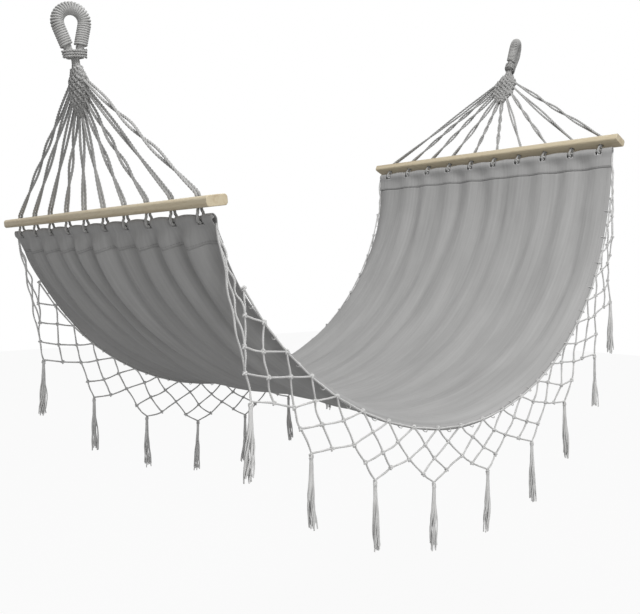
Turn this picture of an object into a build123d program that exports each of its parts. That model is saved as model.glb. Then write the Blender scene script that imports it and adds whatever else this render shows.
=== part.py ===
"""Canvas hammock with two wooden spreader bars, corded ends, side nets and tassels.

Millimetres, +Z up. The origin is where the near hook bears inside the near hanging loop,
+X runs along the hammock towards the far hook, and the hammock hangs below.
"""

import os
from math import atan2, cos, degrees, floor, hypot, pi, radians, sin, sqrt

from build123d import *

# Wooden spreader bars
bar_length = 800.0
bar_width = 40.0
bar_thickness = 18.0
bar_corner = 6.0
bar_end_round = 1.5
bar_span = 1190.0
bar_rise = 210.0
hole_count = 10
hole_margin = 49.0
hole_play = 1.6
hole_rim = 0.8

# How each end hangs: the slant of the cords away from upright, and the turn of the loop on its hook
near_lean = -8.0
far_lean = 25.0
near_turn = -15.0
far_turn = 28.0
clew_length = 284.0

# Hanging loops, served with a wound cord
loop_height = 110.0
loop_bend = 25.0
loop_splay = 17.0
core_diameter = 16.0
serving_diameter = 4.2
leg_bend = 20.0
leg_foot = 4.0

# Whipping round the foot of each loop
whipping_diameter = 4.0
whipping_turns = 3
whipping_pitch = 4.8
whipping_start = 6.5
whipping_slack = 1.9
whipping_flare = 0.8

# Neck and woven knot below each loop
neck_ball = 9.0
neck_radius = 7.0
knot_drop = 12.0
knot_length = 90.0
knot_thickness = 24.0
knot_top = 20.0
knot_shoulder = 37.0
knot_waist = 35.0
knot_foot = 14.0
knot_round = 6.0

# Cords from the knot through the bar
cord_diameter = 5.5
cord_gap = 0.4
cord_mouth = 5.0
cord_roots = [(5.0, 84.0), (14.0, 70.0), (20.0, 52.0), (22.0, 36.0), (20.0, 20.0)]

# Hem at each end of the cloth
hem_cord_diameter = 7.0
hem_drop = 24.0
hem_depth = 44.0
hem_cloth = 1.5
slot_play = 10.5

# Cloth bed
bed_inset = 15.0
bed_thickness = 2.0
bed_angle = 72.0
bed_stations = 17
fold_depth = 9.0
fold_least = 2.0
edge_droop = 18.0

# Side nets and tassels
net_ties = 22
net_rows = 4
net_cord = 3.0
net_strand = 45.0
net_inset = 0.05
tie_cord = 1.6
tie_reach = 8.0
tie_room = 5.6
tie_gap = 0.6
tassel_length = 140.0
tassel_knot = 5.0
tassel_neck = 3.0
tassel_foot = 6.0

# Free space between pieces that don't touch
clearance = 0.3

# Sizes that follow from the ones above
hole_pitch = (bar_length - 2 * hole_margin) / (hole_count - 1)
hole_diameter = 2 * cord_diameter + cord_gap + hole_play
leg_offset = core_diameter / 2 + clearance
whipping_long = leg_offset + core_diameter / 2 + whipping_diameter / 2 + whipping_slack
whipping_short = core_diameter / 2 + whipping_diameter / 2 + whipping_slack + 0.5
hem_slot = cord_diameter + slot_play
bed_half_width = bar_length / 2 - bed_inset
tie_height = bed_thickness + tie_room


def end_plane(bar_x, bar_z, lean):
    """Plane at a bar's centre: local z runs up the slanting cords, local y along the bar."""
    slant = radians(lean)
    return Plane(
        origin=(bar_x, 0, bar_z),
        x_dir=(cos(slant), 0, -sin(slant)),
        z_dir=(sin(slant), 0, cos(slant)),
    )


def spot(plane, x, y, z):
    """Point given in a plane's own directions."""
    return plane.from_local_coords(Vector(x, y, z))


serving_radius = core_diameter / 2 + clearance + serving_diameter / 2
served_radius = serving_radius + serving_diameter / 2
loop_top = loop_height - served_radius
loop_centre = loop_top - loop_bend
seat_height = loop_top - served_radius

near_bar_x = (seat_height + clew_length) * sin(radians(-near_lean))
near_bar_z = -(seat_height + clew_length) * cos(radians(near_lean))
near_end = end_plane(near_bar_x, near_bar_z, near_lean)
far_end = end_plane(near_bar_x + bar_span, near_bar_z + bar_rise, far_lean)
ends = {"near": (near_end, near_turn), "far": (far_end, far_turn)}
hole_places = [(index - (hole_count - 1) / 2) * hole_pitch for index in range(hole_count)]

# The cloth leaves both hems at the same angle to the line between them
near_hem = spot(near_end, 0, 0, -hem_drop)
far_hem = spot(far_end, 0, 0, -hem_drop)
bed_slope = atan2(far_hem.Z - near_hem.Z, far_hem.X - near_hem.X)
near_way = bed_slope - radians(bed_angle)
far_way = bed_slope + radians(bed_angle)
near_run = Vector(cos(near_way), 0, sin(near_way))
far_run = Vector(-cos(far_way), 0, -sin(far_way))
hems = {"near": (near_hem, near_run), "far": (far_hem, far_run)}

# The bed hangs in one arc between the two hems
bed_start = near_hem + near_run * (hem_depth + clearance)
bed_finish = far_hem + far_run * (hem_depth + clearance)
bed_chord = bed_finish - bed_start
bed_radius = bed_chord.length / 2 / sin(radians(bed_angle))
bed_length = 2 * radians(bed_angle) * bed_radius
bed_centre = (bed_start + bed_finish) * 0.5 + Vector(-sin(bed_slope), 0, cos(bed_slope)) * (
    bed_radius * cos(radians(bed_angle))
)


def bed_plane(along):
    """Plane across the bed, from 0 at the near hem to 1 at the far hem; local y points up off the cloth."""
    turn = radians(bed_angle) * (2 * along - 1) + bed_slope
    place = bed_centre + Vector(sin(turn), 0, -cos(turn)) * bed_radius
    return Plane(origin=place, x_dir=(0, 1, 0), z_dir=(cos(turn), 0, sin(turn)))


def bed_droop(along):
    """How far the side margin hangs below the middle of the cloth."""
    return edge_droop * sqrt(max(sin(pi * along), 0))


def bed_fold(along):
    """Depth of the soft lengthwise folds: shallow at the hems, deepest near them, shallow in the middle."""
    away = abs(2 * along - 1)
    return fold_least + (fold_depth - fold_least) * away**2 * (1 - away**10)


def tie_places():
    """Places of the edge ties along the bed, midway between the net's top knots."""
    step = (1 - 2 * net_inset) / (net_ties - 1)
    return [net_inset + step * (index + 0.5) for index in range(net_ties - 1)]


def tube_path(points):
    """Straight runs joined by arcs as large as the runs allow; returns the corner radii."""
    radii = []
    for before, here, after in zip(points, points[1:], points[2:]):
        incoming = here - before
        outgoing = after - here
        half_turn = radians(incoming.get_angle(outgoing)) / 2
        radii.append(0.45 * min(incoming.length, outgoing.length) / (sin(half_turn) / cos(half_turn)))
    return radii


def biarc(start, start_way, finish, finish_way):
    """Two tangent arcs from one point and direction to another."""
    across = finish - start
    both = start_way + finish_way
    turn = 2 * (1 - start_way.dot(finish_way))
    lean = across.dot(both)
    reach = (sqrt(lean * lean + turn * across.dot(across)) - lean) / turn
    first = start + start_way * reach
    second = finish - finish_way * reach
    middle = (first + second) * 0.5
    TangentArc(start, middle, tangent=start_way)
    TangentArc(middle, finish, tangent=(second - first).normalized())


def winding(point_at, turns):
    """Arcs of a quarter turn along a coil whose point is a function of the number of turns."""
    step = 1e-4
    count = turns * 4
    points = [point_at(index / 4) for index in range(count + 1)]
    ways = [
        (point_at(index / 4 + step) - point_at(index / 4 - step)).normalized() for index in range(count + 1)
    ]
    for index in range(count):
        biarc(points[index], ways[index], points[index + 1], ways[index + 1])


def least_gap(point_at, turns, diameter):
    """Smallest free space between a coil's tube and itself, measured on points."""
    per_turn = 24
    points = [point_at(index / per_turn) for index in range(turns * per_turn + 1)]
    gaps = [
        (points[b] - points[a]).length
        for a in range(len(points))
        for b in range(a + per_turn // 2, min(a + 2 * per_turn, len(points)))
    ]
    return min(gaps) - diameter


def save(name, piece):
    """Labels a finished piece and writes it."""
    piece.label = name
    export_step(piece, f"parts/{name}.step")


def loop_plane(plane, turn):
    """Plane of a hanging loop: local x across the loop, local y up it, origin at its neck."""
    across = plane.x_dir * cos(radians(turn)) + plane.y_dir * sin(radians(turn))
    return Plane(origin=spot(plane, 0, 0, clew_length), x_dir=across, z_dir=across.cross(plane.z_dir))


splay = radians(loop_splay)
leg_run = (
    loop_bend * cos(splay) - leg_offset - leg_bend * (1 - cos(splay))
) / sin(splay)
leg_knee = loop_centre - loop_bend * sin(splay) - leg_run * cos(splay) - leg_bend * sin(splay)
arc_half = loop_bend * (pi / 2 + splay)
served_leg = (loop_bend * cos(splay) - served_radius - 0.4) / sin(splay)
served_length = 2 * (arc_half + served_leg)
closest = 1 - serving_radius / loop_bend
serving_turns = min(24, floor(served_length * closest / (serving_diameter + 0.45)))


def loop_core_path():
    """Centre line of the loop's core: up one leg, round the bend and down the other leg."""
    knee_out = leg_offset + leg_bend * (1 - cos(splay))
    knee_up = leg_knee + leg_bend * sin(splay)
    mid_out = leg_offset + leg_bend * (1 - cos(splay / 2))
    mid_up = leg_knee + leg_bend * sin(splay / 2)
    bend_out = loop_bend * cos(splay)
    bend_up = loop_centre - loop_bend * sin(splay)
    brow_out = loop_bend / sqrt(2)
    brow_up = loop_centre + loop_bend / sqrt(2)
    Line((leg_offset, leg_foot), (leg_offset, leg_knee))
    ThreePointArc((leg_offset, leg_knee), (mid_out, mid_up), (knee_out, knee_up))
    Line((knee_out, knee_up), (bend_out, bend_up))
    ThreePointArc((bend_out, bend_up), (brow_out, brow_up), (0, loop_top))
    ThreePointArc((0, loop_top), (-brow_out, brow_up), (-bend_out, bend_up))
    Line((-bend_out, bend_up), (-knee_out, knee_up))
    ThreePointArc((-knee_out, knee_up), (-mid_out, mid_up), (-leg_offset, leg_knee))
    Line((-leg_offset, leg_knee), (-leg_offset, leg_foot))


def loop_core(plane, turn):
    """Bundle of cords bent into the hanging loop; its feet clear the neck ball."""
    flat = loop_plane(plane, turn)
    with BuildPart() as core:
        with BuildLine(flat) as path:
            loop_core_path()
        foot = Plane(origin=spot(flat, leg_offset, leg_foot, 0), x_dir=flat.x_dir, z_dir=flat.y_dir)
        with BuildSketch(foot):
            Circle(core_diameter / 2)
        sweep(path=path.wires()[0])
        with Locations(flat.origin):
            Sphere(neck_ball + clearance, mode=Mode.SUBTRACT)
    return core.part


def serving_point(flat):
    """Function that gives the served winding's centre line."""

    def point_at(turns):
        along = served_length * (turns / serving_turns - 0.5)
        swing = max(-arc_half, min(arc_half, along)) / loop_bend
        past = along - swing * loop_bend
        out = loop_bend * sin(swing) + past * cos(swing)
        up = loop_centre + loop_bend * cos(swing) - past * sin(swing)
        round_core = 2 * pi * turns
        out += serving_radius * cos(round_core) * sin(swing)
        up += serving_radius * cos(round_core) * cos(swing)
        return spot(flat, out, up, serving_radius * sin(round_core))

    return point_at


def whipping_point(flat):
    """Function that gives the centre line of the whipping round both feet of the loop."""

    def point_at(turns):
        round_legs = 2 * pi * turns
        up = whipping_start + whipping_pitch * turns
        wide = whipping_long + whipping_flare * turns
        return spot(flat, wide * cos(round_legs), up, whipping_short * sin(round_legs))

    return point_at


def coil(point_at, turns, diameter):
    """One unbroken tube along a coil."""
    with BuildPart() as tube:
        with BuildLine() as path:
            winding(point_at, turns)
        with BuildSketch(Plane(origin=path.wires()[0] @ 0, z_dir=path.wires()[0] % 0)):
            Circle(diameter / 2)
        sweep(path=path.wires()[0])
    return tube.part


def spreader_bar(plane):
    """Rounded wooden bar with a row of holes for the cords."""
    section = Plane(origin=plane.origin, x_dir=plane.x_dir, z_dir=(0, 1, 0))
    with BuildPart() as bar:
        with BuildSketch(section):
            RectangleRounded(bar_width, bar_thickness, bar_corner)
        extrude(amount=bar_length / 2, both=True)
        fillet(bar.faces().filter_by(Axis.Y).edges(), bar_end_round)
        with BuildSketch(plane):
            with GridLocations(0, hole_pitch, 1, hole_count):
                Circle(hole_diameter / 2)
        extrude(amount=bar_thickness, both=True, mode=Mode.SUBTRACT)
        rims = bar.edges().filter_by(GeomType.CIRCLE)
        rims = rims.filter_by(lambda edge: abs(edge.radius - hole_diameter / 2) < 0.01)
        chamfer(rims, hole_rim)
    return bar.part


def knot_outline():
    """Outline of the woven knot, across the bar and up from its centre."""
    top = clew_length - knot_drop
    sides = [
        (knot_top, top),
        (knot_shoulder, top - knot_length / 3),
        (knot_waist, top - knot_length * 0.64),
        (knot_foot, top - knot_length),
    ]
    outline = sides + [(-y, z) for y, z in reversed(sides)]
    Polyline(*outline, close=True)


def across_plane(plane):
    """Plane of the fan of cords: local x along the bar, local y up the cords."""
    return Plane(origin=plane.origin, x_dir=(0, 1, 0), z_dir=plane.x_dir)


def woven_knot(plane):
    """Flat woven knot that gathers the cords, with the neck and ball that it turns on."""
    with BuildPart() as knot:
        with BuildSketch(across_plane(plane)):
            with BuildLine():
                knot_outline()
            make_face()
        extrude(amount=knot_thickness / 2, both=True)
        faces_out = knot.edges().filter_by(
            lambda edge: abs((edge @ 0.5 - plane.origin).dot(plane.x_dir)) > 1
        )
        fillet(faces_out, knot_round)
        with BuildSketch(plane.offset(clew_length - knot_drop - 1)):
            Circle(neck_radius)
        extrude(amount=knot_drop + 1)
        with Locations(spot(plane, 0, 0, clew_length)):
            Sphere(neck_ball)
    return knot.part


def cord_points(plane, place):
    """Route of one doubled cord: knot, bar hole, round the hem cord and back up."""
    index = floor(abs(place) / hole_pitch)
    root_y, root_drop = cord_roots[min(index, len(cord_roots) - 1)]
    side = 1 if place > 0 else -1
    apart = (cord_diameter + cord_gap) / 2
    round_hem = (hem_cord_diameter + cord_diameter) / 2 + clearance
    bottom = -hem_drop - round_hem
    one_way = [
        (apart, side * root_y, clew_length - knot_drop - root_drop),
        (apart, place, bar_thickness / 2 + cord_mouth),
        (apart, place, -bar_thickness / 2 - 2),
        (round_hem, place, bottom + 2 * round_hem),
        (round_hem, place, bottom),
    ]
    route = one_way + [(-x, y, z) for x, y, z in reversed(one_way)]
    return [spot(plane, *point) for point in route]


def doubled_cord(plane, place):
    """Cord that goes down through the bar, round the hem cord and up again."""
    points = cord_points(plane, place)
    radii = tube_path(points)
    with BuildPart() as cord:
        with BuildLine() as path:
            FilletPolyline(*points, radius=radii)
        with BuildSketch(Plane(origin=points[0], z_dir=points[1] - points[0])):
            Circle(cord_diameter / 2)
        sweep(path=path.wires()[0])
        with BuildSketch(across_plane(plane)):
            with BuildLine():
                knot_outline()
            make_face()
            offset(amount=clearance, kind=Kind.INTERSECTION)
        extrude(amount=knot_thickness / 2, both=True, mode=Mode.SUBTRACT)
    expected = pi * cord_diameter**2 / 4 * path.wires()[0].length
    return cord.part, radii, expected


def hem_cord(plane):
    """Stiff cord inside the hem that the doubled cords pull on."""
    section = Plane(origin=spot(plane, 0, 0, -hem_drop), x_dir=plane.x_dir, z_dir=(0, 1, 0))
    with BuildPart() as rod:
        with BuildSketch(section):
            Circle(hem_cord_diameter / 2)
        extrude(amount=bed_half_width - clearance, both=True)
    return rod.part


def hem_tunnel(plane, run):
    """End of the cloth turned over into a tunnel, with a slot at each cord."""
    origin = spot(plane, 0, 0, -hem_drop)
    bore = hem_cord_diameter / 2 + clearance
    with BuildPart() as tunnel:
        with BuildSketch(Plane(origin=origin, x_dir=run, z_dir=(0, 1, 0))):
            Circle(bore + hem_cloth)
            with Locations((hem_depth / 2, 0)):
                Rectangle(hem_depth, 2 * hem_cloth)
            Circle(bore, mode=Mode.SUBTRACT)
        extrude(amount=bed_half_width, both=True)
        slot_depth = bore + cord_diameter + 2 * clearance
        with BuildSketch(plane.offset(-hem_drop - slot_depth)):
            with GridLocations(0, hole_pitch, 1, hole_count):
                Rectangle(bar_width, hem_slot)
        extrude(amount=slot_depth + bar_width / 2, mode=Mode.SUBTRACT)
    return tunnel.part


def bed_profile(along):
    """Closed outline across the cloth: drooping margins and shallow folds between the cord lines."""
    fold = bed_fold(along)
    margin = (-bed_half_width, -bed_droop(along))
    nodes = [margin] + [(place, 0) for place in hole_places] + [(bed_half_width, margin[1])]
    for lift in (0, -bed_thickness):
        for left, right in zip(nodes, nodes[1:]):
            middle = ((left[0] + right[0]) / 2, (left[1] + right[1]) / 2 + lift - fold)
            if right is nodes[1] or left is nodes[-2]:
                middle = (middle[0], middle[1] + fold + 0.5)
            ThreePointArc((left[0], left[1] + lift), middle, (right[0], right[1] + lift))
    for node in (nodes[0], nodes[-1]):
        Line(node, (node[0], node[1] - bed_thickness))


def cloth_bed():
    """Cloth between the hems: one hanging arc with its folds."""
    with BuildPart() as bed:
        for index in range(bed_stations):
            along = index / (bed_stations - 1)
            with BuildSketch(bed_plane(along)):
                with BuildLine():
                    bed_profile(along)
                make_face()
        loft(ruled=True)
        for along in tie_places():
            slope = atan2(bed_droop(along), bed_half_width - hole_places[-1])
            inward = (tie_reach + tie_cord / 2 - tie_gap) * cos(slope)
            rise = (tie_reach + tie_cord / 2 - tie_gap) * sin(slope)
            flat = bed_plane(along)
            for side in (-1, 1):
                height = rise - bed_droop(along) - bed_thickness / 2
                place = spot(flat, side * (bed_half_width - inward), height, 0)
                out = flat.y_dir * cos(slope) + flat.x_dir * (side * sin(slope))
                with Locations(Plane(origin=place, z_dir=out)):
                    Cylinder(tie_cord * 0.7 + clearance, 20, mode=Mode.SUBTRACT)
    return bed.part


def hang(left, right):
    """Lowest point that two strands of the net can reach from two knots."""
    if left[1] < right[1]:
        upper, lower = right, left
    else:
        upper, lower = left, right
    below = (upper[0], upper[1] - net_strand)
    if hypot(below[0] - lower[0], below[1] - lower[1]) <= net_strand:
        return below
    span = hypot(right[0] - left[0], right[1] - left[1])
    sag = sqrt(max(net_strand**2 - (span / 2) ** 2, 100.0))
    across = ((right[0] - left[0]) / span, (right[1] - left[1]) / span)
    return ((left[0] + right[0]) / 2 + across[1] * sag, (left[1] + right[1]) / 2 - across[0] * sag)


def net_knots():
    """Rows of knots, from the ties on the cloth's edge down to the knots that carry the tassels."""
    rows = [[]]
    for index in range(net_ties):
        along = net_inset + (1 - 2 * net_inset) * index / (net_ties - 1)
        edge = spot(bed_plane(along), 0, -bed_droop(along) - bed_thickness / 2, 0)
        rows[0].append((edge.X, edge.Z))
    for _ in range(net_rows):
        above = rows[-1]
        rows.append([hang(left, right) for left, right in zip(above, above[1:])])
    return rows


def net_cells(rows):
    """Outlines of the gaps in the net, as lists of knots."""
    cells = [[rows[0][index], rows[1][index], rows[0][index + 1]] for index in range(net_ties - 1)]
    for row in range(1, net_rows):
        step = 2 if row == net_rows - 1 else 1
        for index in range(0, len(rows[row + 1]), step):
            above = rows[row - 1][index + 1]
            cells.append([above, rows[row][index], rows[row + 1][index], rows[row][index + 1]])
    return cells


def net_outline(rows):
    """Outer edge of the net: along the cloth, down one end, round the scallops and up the other end."""
    left = [row[0] for row in rows[1:]]
    right = [row[-1] for row in rows[1:-1]]
    bottom = []
    for index in range(1, len(rows[-1]) + 1):
        bottom.append(rows[-2][index])
        if index % 2 == 1 and index + 1 < len(rows[-2]):
            bottom.append(rows[-3][index + 1])
        elif index % 2 == 0 and index < len(rows[-1]):
            bottom.append(rows[-1][index])
    return left + bottom + right[:-1][::-1] + rows[0][::-1]


def net_gap(cell):
    """One opening of the net: the outline between its knots less half a cord all round."""
    return offset(make_face(Polyline(*cell, close=True)), amount=-net_cord / 2, kind=Kind.INTERSECTION)


def side_net(rows, side):
    """Knotted net that hangs from one edge of the cloth."""
    gaps = [net_gap(cell) for cell in net_cells(rows)]
    place = side * (bed_half_width + clearance)
    with BuildPart() as net:
        with BuildSketch(Plane(origin=(0, place, 0), x_dir=(1, 0, 0), z_dir=(0, -1, 0))):
            with BuildLine():
                Polyline(*net_outline(rows), close=True)
            make_face()
            offset(amount=net_cord / 2)
            add(gaps, mode=Mode.SUBTRACT)
        extrude(amount=-side * net_cord)
    return net.part


def edge_ties(side):
    """Stitches that hold the net's top cord to the edge of the cloth, midway between its knots."""
    with BuildPart() as group:
        for along in tie_places():
            slope = degrees(atan2(bed_droop(along), bed_half_width - hole_places[-1]))
            length = tie_reach + net_cord + 2 * tie_gap
            lift = -bed_droop(along) - bed_thickness / 2
            middle = (length / 2 - tie_reach + tie_gap) * cos(radians(slope))
            drop = (length / 2 - tie_reach + tie_gap) * sin(radians(slope))
            place = Location((side * (bed_half_width + middle), lift - drop, 0), (0, 0, -side * slope))
            with BuildSketch(bed_plane(along)):
                with Locations(place):
                    RectangleRounded(length + 2 * tie_cord, tie_height + 2 * tie_cord, tie_cord * 1.5)
                    RectangleRounded(length, tie_height, tie_cord * 0.5, mode=Mode.SUBTRACT)
            extrude(amount=tie_cord / 2, both=True)
    return group.part


def tassel_drop(knot, others):
    """Depth of a tassel's knot centre below the net's knot, clear of the strands that leave downwards."""
    apart = tassel_knot + net_cord / 2 + clearance
    drop = apart
    for across, height in others:
        if height < knot[1]:
            drop = max(drop, apart * hypot(across - knot[0], height - knot[1]) / abs(across - knot[0]))
    return drop


def tassel(index, rows, side):
    """Tassel with its knot, hung under one scallop of the net."""
    across, height = rows[-1][index]
    place = side * (bed_half_width + clearance + net_cord / 2)
    top = height - tassel_drop(rows[-1][index], rows[-2][index : index + 2]) + tassel_knot
    with BuildPart() as piece:
        with Locations((across, place, top - tassel_knot)):
            Sphere(tassel_knot)
        with BuildSketch(Plane(origin=(across, place, top - tassel_knot))):
            Circle(tassel_neck)
        with BuildSketch(Plane(origin=(across, place, top - tassel_length))):
            Circle(tassel_foot)
        loft()
    return piece.part


def build_end(side):
    """All the pieces of one end."""
    plane, turn = ends[side]
    flat = loop_plane(plane, turn)
    serve = serving_point(flat)
    whip = whipping_point(flat)
    save(f"{side}_loop", loop_core(plane, turn))
    save(f"{side}_loop_serving", coil(serve, serving_turns, serving_diameter))
    save(f"{side}_loop_whipping", coil(whip, whipping_turns, whipping_diameter))
    print(side, "serving turns", serving_turns, "least gap",
          round(least_gap(serve, serving_turns, serving_diameter), 2),
          "whipping gap", round(least_gap(whip, whipping_turns, whipping_diameter), 2))
    save(f"{side}_knot", woven_knot(plane))
    save(f"{side}_spreader_bar", spreader_bar(plane))
    save(f"{side}_hem_cord", hem_cord(plane))
    save(f"{side}_hem", hem_tunnel(plane, hems[side][1]))
    for number, place in enumerate(hole_places, 1):
        part, radii, expected = doubled_cord(plane, place)
        save(f"{side}_cord_{number:02d}", part)
        print(side, "cord", number, "radii", [round(radius, 1) for radius in radii],
              "volume", round(part.volume), "of", round(expected))


os.makedirs("parts", exist_ok=True)
build_end("near")
build_end("far")
save("bed", cloth_bed())
knots = net_knots()
for name, side in (("left", 1), ("right", -1)):
    save(f"{name}_net", side_net(knots, side))
    save(f"{name}_edge_ties", edge_ties(side))
    for number, index in enumerate(range(0, len(knots[-1]), 2), 1):
        save(f"{name}_tassel_{number}", tassel(index, knots, side))
print("bed arc", round(bed_length), "radius", round(bed_radius))
for name in ("near", "far"):
    pivot = spot(ends[name][0], 0, 0, clew_length)
    seat = spot(ends[name][0], 0, 0, clew_length + seat_height)
    print(name, "neck", pivot, "hook seat", seat)
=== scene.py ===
# %% [markdown]
# # A canvas hammock with two spreader bars
# The hammock hangs from two wound cord eyes. Ten doubled cords at each end spread from a woven knot to a
# wooden bar, and the bar's cords pull on a hidden rope in the hem of one long canvas sheet. Knotted nets
# with tassels hang from both long edges. The measured solids come in first, and every soft piece is then
# made in their place in metres.

# %% Load the measured frame
import random
from math import atan2, cos, exp, floor, hypot, pi, radians, sin, sqrt

import bpy
from mathutils import Matrix, Vector, noise


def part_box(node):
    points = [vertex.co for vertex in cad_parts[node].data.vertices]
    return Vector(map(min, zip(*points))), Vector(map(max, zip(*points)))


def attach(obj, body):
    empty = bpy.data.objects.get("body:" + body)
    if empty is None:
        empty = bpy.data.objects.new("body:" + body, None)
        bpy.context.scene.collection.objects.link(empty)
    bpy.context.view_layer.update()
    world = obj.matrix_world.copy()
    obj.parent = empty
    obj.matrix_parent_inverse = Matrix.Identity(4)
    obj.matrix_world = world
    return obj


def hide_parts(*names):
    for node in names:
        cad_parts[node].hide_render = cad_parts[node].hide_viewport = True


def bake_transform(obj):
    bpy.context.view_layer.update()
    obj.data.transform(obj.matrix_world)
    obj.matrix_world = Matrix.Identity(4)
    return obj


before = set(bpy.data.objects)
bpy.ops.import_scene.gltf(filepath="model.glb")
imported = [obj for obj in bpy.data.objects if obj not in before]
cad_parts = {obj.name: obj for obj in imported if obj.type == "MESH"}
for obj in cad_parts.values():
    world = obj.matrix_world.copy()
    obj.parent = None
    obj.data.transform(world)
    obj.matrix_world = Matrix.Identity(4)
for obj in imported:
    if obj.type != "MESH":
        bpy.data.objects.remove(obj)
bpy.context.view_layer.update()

scene = bpy.context.scene

# %% [markdown]
# The camera comes first, because every shape is judged through it. The picture was taken from beside the
# near bar and a little below it, with the camera upright. The lens is set from the picture's width and a
# small shift recentres the view.

# %% Camera at the picture's viewing angle
picture_width = 640
picture_height = 614
focal_pixels = 819.0
lens_centre = (280.0, 249.0)
yaw, pitch = 0.688, -0.025
forward = Vector((sin(yaw) * cos(pitch), cos(yaw) * cos(pitch), -sin(pitch)))
right = Vector((cos(yaw), -sin(yaw), 0))
down = forward.cross(right)
camera_place = Vector((-0.6526, -1.4040, -0.4692))

camera_data = bpy.data.cameras.new("camera")
camera = bpy.data.objects.new("camera", camera_data)
scene.collection.objects.link(camera)
turned = Matrix((right, -down, -forward)).transposed().to_4x4()
camera.matrix_world = Matrix.Translation(camera_place) @ turned
camera_data.sensor_width = 36.0
camera_data.lens = focal_pixels / picture_width * camera_data.sensor_width
camera_data.shift_x = (picture_width / 2 - lens_centre[0]) / picture_width
camera_data.shift_y = (lens_centre[1] - picture_height / 2) / picture_width
camera_data.clip_start = 0.05
camera_data.clip_end = 60.0
scene.camera = camera
shifts = [round(shift, 3) for shift in (camera_data.shift_x, camera_data.shift_y)]
print("lens", round(camera_data.lens, 1), "shifts", shifts)

# %% [markdown]
# A pale studio holds the light. The floor is one flat sheet well below the hammock, and the world is the
# backdrop. Light Path makes the world white and the floor nearly white to the camera, and their own greys
# are what lights the cloth.

# %% Floor, backdrop and lights
white = (1.0, 1.0, 1.0)
sky_strength, paper_grey, paper_glow = 0.50, 0.42, 0.94
scene.view_settings.view_transform = "Standard"
world = bpy.data.worlds.new("studio")
scene.world = world
world.use_nodes = True
sky_nodes, sky_links = world.node_tree.nodes, world.node_tree.links
sky_nodes["Background"].inputs["Color"].default_value = (*white, 1.0)
sky_nodes["Background"].inputs["Strength"].default_value = sky_strength
white_sky = sky_nodes.new("ShaderNodeBackground")
white_sky.inputs["Color"].default_value = (*white, 1.0)
sky_rays = sky_nodes.new("ShaderNodeLightPath")
sky_seen = sky_nodes.new("ShaderNodeMath")
sky_seen.operation = "MAXIMUM"
sky_mirrored = sky_nodes.new("ShaderNodeMath")
sky_mirrored.operation = "MAXIMUM"
sky_mix = sky_nodes.new("ShaderNodeMixShader")
sky_links.new(sky_rays.outputs["Is Glossy Ray"], sky_mirrored.inputs[0])
sky_links.new(sky_rays.outputs["Is Transmission Ray"], sky_mirrored.inputs[1])
sky_links.new(sky_rays.outputs["Is Camera Ray"], sky_seen.inputs[0])
sky_links.new(sky_mirrored.outputs[0], sky_seen.inputs[1])
sky_links.new(sky_seen.outputs[0], sky_mix.inputs["Fac"])
sky_links.new(sky_nodes["Background"].outputs[0], sky_mix.inputs[1])
sky_links.new(white_sky.outputs[0], sky_mix.inputs[2])
sky_links.new(sky_mix.outputs[0], sky_nodes["World Output"].inputs["Surface"])


def studio_material():
    """Nearly white to the camera, and grey to the light that it throws back."""
    material = bpy.data.materials.new("studio_paper")
    material.use_nodes = True
    nodes, links = material.node_tree.nodes, material.node_tree.links
    paper = nodes["Principled BSDF"]
    paper.inputs["Base Color"].default_value = (paper_grey, paper_grey, paper_grey, 1.0)
    paper.inputs["Roughness"].default_value = 0.9
    glow = nodes.new("ShaderNodeEmission")
    glow.inputs["Color"].default_value = (*white, 1.0)
    seen = nodes.new("ShaderNodeLightPath")
    share = nodes.new("ShaderNodeMath")
    share.operation = "MULTIPLY"
    share.inputs[1].default_value = paper_glow
    mix = nodes.new("ShaderNodeMixShader")
    links.new(seen.outputs["Is Camera Ray"], share.inputs[0])
    links.new(share.outputs[0], mix.inputs["Fac"])
    links.new(paper.outputs[0], mix.inputs[1])
    links.new(glow.outputs[0], mix.inputs[2])
    links.new(mix.outputs[0], nodes["Material Output"].inputs["Surface"])
    return material


floor_low, floor_high, floor_z = -9, 10, -1.62
floor_corners = [
    (floor_low, floor_low, floor_z),
    (floor_high, floor_low, floor_z),
    (floor_high, floor_high, floor_z),
    (floor_low, floor_high, floor_z),
]
studio = bpy.data.meshes.new("studio")
studio.from_pydata(floor_corners, [], [(0, 1, 2, 3)])
studio_floor = bpy.data.objects.new("studio_floor", studio)
scene.collection.objects.link(studio_floor)
studio.materials.append(studio_material())


def lamp(name, place, target, size, power):
    """A square soft lamp that faces a point."""
    data = bpy.data.lights.new(name, "AREA")
    data.size = size
    data.energy = power
    made = bpy.data.objects.new(name, data)
    scene.collection.objects.link(made)
    made.location = place
    made.rotation_euler = (Vector(target) - Vector(place)).to_track_quat("-Z", "Y").to_euler()


lamp("key", place=(-0.4, -1.6, 2.5), target=(0.8, 0.0, -0.6), size=1.2, power=88)
lamp("side", place=(-0.9, -3.1, -0.3), target=(0.5, 0.0, -0.5), size=0.9, power=26)

# %% [markdown]
# All sizes below are the ones the solids were built with, in metres. Each end has its own directions:
# local x across the bar's width, local y along the bar and local z up the slanting cords.

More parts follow.
